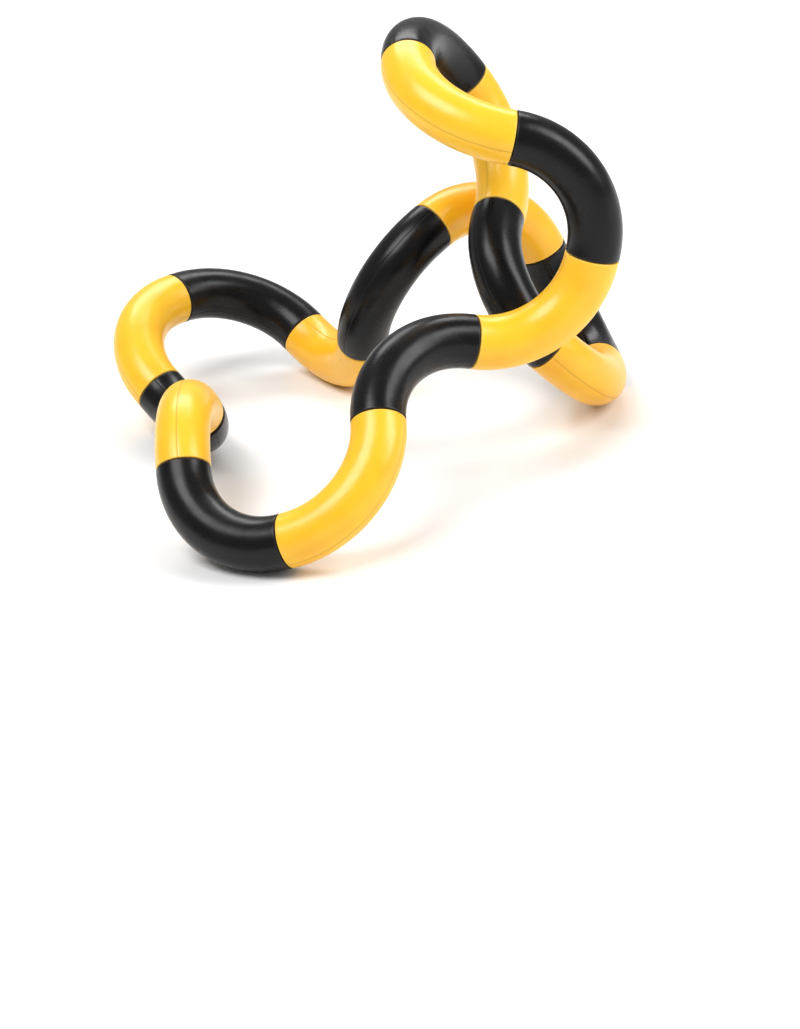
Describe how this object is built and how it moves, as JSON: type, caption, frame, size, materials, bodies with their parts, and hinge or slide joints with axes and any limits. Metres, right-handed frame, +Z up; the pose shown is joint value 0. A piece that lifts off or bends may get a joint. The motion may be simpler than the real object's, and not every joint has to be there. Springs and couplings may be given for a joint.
{
  "type": "twisty snake puzzle",
  "caption": "Endless loop of curved tube sections that swivel freely on one another, twisted into a tangle and standing on a table.",
  "frame": {"origin": "centre of the bounding box in plan, at the floor that the tangle stands on", "axes": "+Z up from the floor, +Y away from the side it is usually looked at, +X to the right"},
  "size_m": [0.1174, 0.1334, 0.096],
  "materials": {
    "yellow_plastic": "glossy moulded yellow ABS",
    "black_plastic": "glossy moulded black ABS",
    "pin_plastic": "natural white acetal"
  },
  "bodies": {
    "section_01": {"section_01_peg_half": "yellow_plastic", "section_01_socket_half": "yellow_plastic", "section_01_swivel_pin": "pin_plastic"},
    "section_02": {"section_02_peg_half": "black_plastic", "section_02_socket_half": "black_plastic", "section_02_swivel_pin": "pin_plastic"},
    "section_03": {"section_03_peg_half": "yellow_plastic", "section_03_socket_half": "yellow_plastic", "section_03_swivel_pin": "pin_plastic"},
    "section_04": {"section_04_peg_half": "black_plastic", "section_04_socket_half": "black_plastic", "section_04_swivel_pin": "pin_plastic"},
    "section_05": {"section_05_peg_half": "yellow_plastic", "section_05_socket_half": "yellow_plastic", "section_05_swivel_pin": "pin_plastic"},
    "section_06": {"section_06_peg_half": "black_plastic", "section_06_socket_half": "black_plastic", "section_06_swivel_pin": "pin_plastic"},
    "section_07": {"section_07_peg_half": "yellow_plastic", "section_07_socket_half": "yellow_plastic", "section_07_swivel_pin": "pin_plastic"},
    "section_08": {"section_08_peg_half": "black_plastic", "section_08_socket_half": "black_plastic", "section_08_swivel_pin": "pin_plastic"},
    "section_09": {"section_09_peg_half": "yellow_plastic", "section_09_socket_half": "yellow_plastic", "section_09_swivel_pin": "pin_plastic"},
    "section_10": {"section_10_peg_half": "black_plastic", "section_10_socket_half": "black_plastic", "section_10_swivel_pin": "pin_plastic"},
    "section_11": {"section_11_peg_half": "yellow_plastic", "section_11_socket_half": "yellow_plastic", "section_11_swivel_pin": "pin_plastic"},
    "section_12": {"section_12_peg_half": "black_plastic", "section_12_socket_half": "black_plastic", "section_12_swivel_pin": "pin_plastic"},
    "section_13": {"section_13_peg_half": "yellow_plastic", "section_13_socket_half": "yellow_plastic", "section_13_swivel_pin": "pin_plastic"},
    "section_14": {"section_14_peg_half": "black_plastic", "section_14_socket_half": "black_plastic", "section_14_swivel_pin": "pin_plastic"},
    "section_15": {"section_15_peg_half": "yellow_plastic", "section_15_socket_half": "yellow_plastic", "section_15_swivel_pin": "pin_plastic"},
    "section_16": {"section_16_peg_half": "black_plastic", "section_16_socket_half": "black_plastic", "section_16_swivel_pin": "pin_plastic"},
    "section_17": {"section_17_peg_half": "yellow_plastic", "section_17_socket_half": "yellow_plastic", "section_17_swivel_pin": "pin_plastic"},
    "section_18": {"section_18_peg_half": "black_plastic", "section_18_socket_half": "black_plastic", "section_18_swivel_pin": "pin_plastic"}
  },
  "joints": [
    {"name": "swivel_16", "type": "hinge", "parent": "section_16", "child": "section_17", "pos_m": [0.03286, 0.01196, 0.04784], "axis": [0.3188, 0.8749, 0.3646], "range_deg": [0, 25]},
    {"name": "swivel_17", "type": "hinge", "parent": "section_17", "child": "section_18", "pos_m": [0.02904, 0.02771, 0.07539], "axis": [-0.4881, -0.1782, 0.8544], "range_deg": [0, 255]},
    {"name": "swivel_18", "type": "hinge", "parent": "section_18", "child": "section_01", "pos_m": [0.0161, 0.00188, 0.08907], "axis": [-0.0844, -0.9647, -0.2494], "range_deg": [-20, 0]},
    {"name": "swivel_01", "type": "hinge", "parent": "section_01", "child": "section_02", "pos_m": [0.03576, -0.02006, 0.07666], "axis": [0.9541, -0.0061, -0.2994], "range_deg": [-230, 0]},
    {"name": "swivel_02", "type": "hinge", "parent": "section_02", "child": "section_03", "pos_m": [0.05055, -0.02132, 0.04836], "axis": [-0.2994, -0.0496, -0.9529], "range_deg": [-195, 0]},
    {"name": "swivel_03", "type": "hinge", "parent": "section_03", "child": "section_04", "pos_m": [0.02259, -0.02622, 0.03368], "axis": [-0.938, -0.1675, 0.3034], "range_deg": [-35, 265]},
    {"name": "swivel_04", "type": "hinge", "parent": "section_04", "child": "section_05", "pos_m": [0.00006, -0.04777, 0.02664], "axis": [-0.0587, -0.7862, -0.6152], "range_deg": [-200, 0]},
    {"name": "swivel_05", "type": "hinge", "parent": "section_05", "child": "section_06", "pos_m": [-0.02233, -0.05958, 0.00712], "axis": [-0.932, 0.2639, -0.2484], "range_deg": [-330, 0]},
    {"name": "swivel_06", "type": "hinge", "parent": "section_06", "child": "section_07", "pos_m": [-0.04277, -0.03701, 0.01683], "axis": [0.0273, 0.7345, 0.6781], "continuous": true},
    {"name": "swivel_15", "type": "hinge", "parent": "section_16", "child": "section_15", "pos_m": [0.03999, -0.0058, 0.02224], "axis": [0.6341, 0.089, -0.7681], "range_deg": [0, 5]},
    {"name": "swivel_14", "type": "hinge", "parent": "section_15", "child": "section_14", "pos_m": [0.0526, 0.01871, 0.00607], "axis": [-0.0761, 0.9957, 0.0525], "range_deg": [-270, 0]},
    {"name": "swivel_13", "type": "hinge", "parent": "section_14", "child": "section_13", "pos_m": [0.04336, 0.03952, 0.0285], "axis": [-0.3327, -0.075, 0.94], "range_deg": [-230, 0]},
    {"name": "swivel_12", "type": "hinge", "parent": "section_13", "child": "section_12", "pos_m": [0.0183, 0.02552, 0.04256], "axis": [-0.776, -0.5447, -0.3181], "range_deg": [-5, 65]},
    {"name": "swivel_11", "type": "hinge", "parent": "section_12", "child": "section_11", "pos_m": [-0.00052, 0.02592, 0.01673], "axis": [-0.0568, 0.5626, -0.8248], "range_deg": [-100, 50]},
    {"name": "swivel_10", "type": "hinge", "parent": "section_11", "child": "section_10", "pos_m": [-0.01406, 0.05392, 0.00936], "axis": [-0.5426, 0.6761, 0.4985], "range_deg": [-225, 0]},
    {"name": "swivel_09", "type": "hinge", "parent": "section_10", "child": "section_09", "pos_m": [-0.04355, 0.0546, 0.02167], "axis": [-0.7621, -0.6458, 0.0465], "range_deg": [-330, 0]},
    {"name": "swivel_08", "type": "hinge", "parent": "section_09", "child": "section_08", "pos_m": [-0.04874, 0.02496, 0.01091], "axis": [0.5323, -0.6657, -0.5229], "continuous": true}
  ]
}
